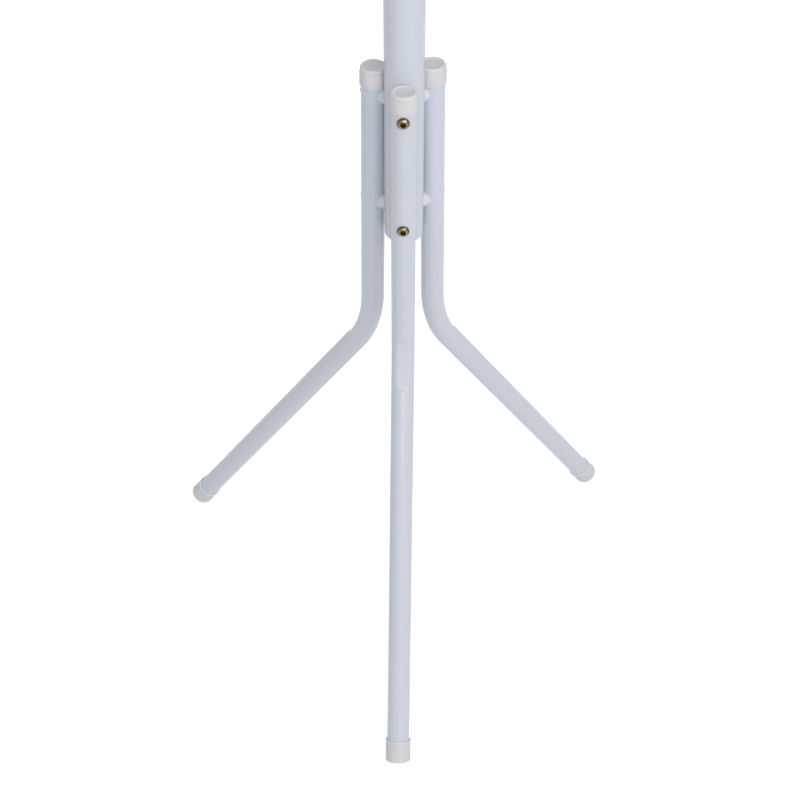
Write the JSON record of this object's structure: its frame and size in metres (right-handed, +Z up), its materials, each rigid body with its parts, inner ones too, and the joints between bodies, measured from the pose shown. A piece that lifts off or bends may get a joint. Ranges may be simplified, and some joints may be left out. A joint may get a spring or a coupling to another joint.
{
  "type": "rotary clothesline",
  "caption": "Free-standing rotary clothesline: bolted tube tripod, turning upper mast and arms that fold up, umbrella fashion, when the locking runner slides down.",
  "frame": {"origin": "on the floor, under the axis of the mast", "axes": "+Z up along the mast, -Y towards the front leg (which stands 1.5 degrees off it), +X to the right"},
  "size_m": [0.857, 0.857, 1.4716],
  "materials": {
    "powder_coat": "satin powder coat, very pale blue white",
    "translucent_cap": "soft off-white polyethylene",
    "spacer_nylon": "white nylon",
    "yellow_zinc": "yellow zinc plate",
    "bright_zinc": "bright zinc plate",
    "hub_plastic": "white moulded nylon",
    "clip_plastic": "white moulded clips",
    "lever_plastic": "pale grey moulded lever",
    "shoe_rubber": "dark rubber pad"
  },
  "bodies": {
    "base": {"leg_front": "powder_coat", "leg_cap_front": "translucent_cap", "foot_cap_front": "translucent_cap", "leg_right": "powder_coat", "leg_cap_right": "translucent_cap", "foot_cap_right": "translucent_cap", "leg_left": "powder_coat", "leg_cap_left": "translucent_cap", "foot_cap_left": "translucent_cap", "leg_spacers": "spacer_nylon", "leg_bolts": "yellow_zinc", "leg_rivet_nuts": "bright_zinc", "lower_mast": "powder_coat", "mast_end_plug": "spacer_nylon", "mast_bush": "hub_plastic", "mast_stop_pin": "bright_zinc"},
    "upper_mast": {"upper_mast": "powder_coat", "mast_pivot_plug": "spacer_nylon", "crown": "hub_plastic", "crown_cap": "hub_plastic", "crown_rivet": "bright_zinc", "crown_pins": "bright_zinc"},
    "runner": {"runner": "hub_plastic", "runner_pins": "bright_zinc", "lock_shoe": "shoe_rubber", "lock_pin": "bright_zinc"},
    "lock_lever": {"lock_lever": "lever_plastic"},
    "stay_1": {"stay_1": "powder_coat"},
    "arm_1": {"arm_1_tube": "powder_coat", "arm_1_root": "hub_plastic", "arm_1_tip": "hub_plastic", "arm_1_line_clips": "clip_plastic", "arm_1_rivet": "bright_zinc"},
    "stay_2": {"stay_2": "powder_coat"},
    "arm_2": {"arm_2_tube": "powder_coat", "arm_2_root": "hub_plastic", "arm_2_tip": "hub_plastic", "arm_2_line_clips": "clip_plastic", "arm_2_rivet": "bright_zinc"},
    "stay_3": {"stay_3": "powder_coat"},
    "arm_3": {"arm_3_tube": "powder_coat", "arm_3_root": "hub_plastic", "arm_3_tip": "hub_plastic", "arm_3_line_clips": "clip_plastic", "arm_3_rivet": "bright_zinc"},
    "stay_4": {"stay_4": "powder_coat"},
    "arm_4": {"arm_4_tube": "powder_coat", "arm_4_root": "hub_plastic", "arm_4_tip": "hub_plastic", "arm_4_line_clips": "clip_plastic", "arm_4_rivet": "bright_zinc"}
  },
  "joints": [
    {"name": "mast_spin", "type": "hinge", "parent": "base", "child": "upper_mast", "pos_m": [0, 0, 0.82844], "axis": [0, 0, 1], "continuous": true},
    {"name": "fold", "type": "hinge", "parent": "upper_mast", "child": "stay_1", "pos_m": [0.02404, 0.02404, 1.4526], "axis": [-0.7071, 0.7071, 0], "range_deg": [0, 60]},
    {"name": "arm_1_fold", "type": "hinge", "parent": "stay_1", "child": "arm_1", "pos_m": [0.22073, 0.22073, 1.34022], "axis": [-0.7071, 0.7071, 0], "range_deg": [-120, 0]},
    {"name": "stay_2_fold", "type": "hinge", "parent": "upper_mast", "child": "stay_2", "pos_m": [-0.02404, 0.02404, 1.4526], "axis": [-0.7071, -0.7071, 0], "range_deg": [0, 60]},
    {"name": "arm_2_fold", "type": "hinge", "parent": "stay_2", "child": "arm_2", "pos_m": [-0.22073, 0.22073, 1.34022], "axis": [-0.7071, -0.7071, 0], "range_deg": [-120, 0]},
    {"name": "stay_3_fold", "type": "hinge", "parent": "upper_mast", "child": "stay_3", "pos_m": [-0.02404, -0.02404, 1.4526], "axis": [0.7071, -0.7071, 0], "range_deg": [0, 60]},
    {"name": "arm_3_fold", "type": "hinge", "parent": "stay_3", "child": "arm_3", "pos_m": [-0.22073, -0.22073, 1.34022], "axis": [0.7071, -0.7071, 0], "range_deg": [-120, 0]},
    {"name": "stay_4_fold", "type": "hinge", "parent": "upper_mast", "child": "stay_4", "pos_m": [0.02404, -0.02404, 1.4526], "axis": [0.7071, 0.7071, 0], "range_deg": [0, 60]},
    {"name": "arm_4_fold", "type": "hinge", "parent": "stay_4", "child": "arm_4", "pos_m": [0.22073, -0.22073, 1.34022], "axis": [0.7071, 0.7071, 0], "range_deg": [-120, 0]},
    {"name": "runner_travel", "type": "hinge", "parent": "arm_1", "child": "runner", "pos_m": [0.02404, 0.02404, 1.22784], "axis": [-0.7071, 0.7071, 0], "range_deg": [0, 60]},
    {"name": "lock_lever_lift", "type": "hinge", "parent": "runner", "child": "lock_lever", "pos_m": [0, -0.027, 1.24084], "axis": [-1, 0, 0], "range_deg": [0, 80]}
  ],
  "couplings": [
    {"joint": "arm_1_fold", "follows": "fold", "ratio": -2},
    {"joint": "stay_2_fold", "follows": "fold", "ratio": 1},
    {"joint": "arm_2_fold", "follows": "fold", "ratio": -2},
    {"joint": "stay_3_fold", "follows": "fold", "ratio": 1},
    {"joint": "arm_3_fold", "follows": "fold", "ratio": -2},
    {"joint": "stay_4_fold", "follows": "fold", "ratio": 1},
    {"joint": "arm_4_fold", "follows": "fold", "ratio": -2},
    {"joint": "runner_travel", "follows": "fold", "ratio": 1}
  ]
}
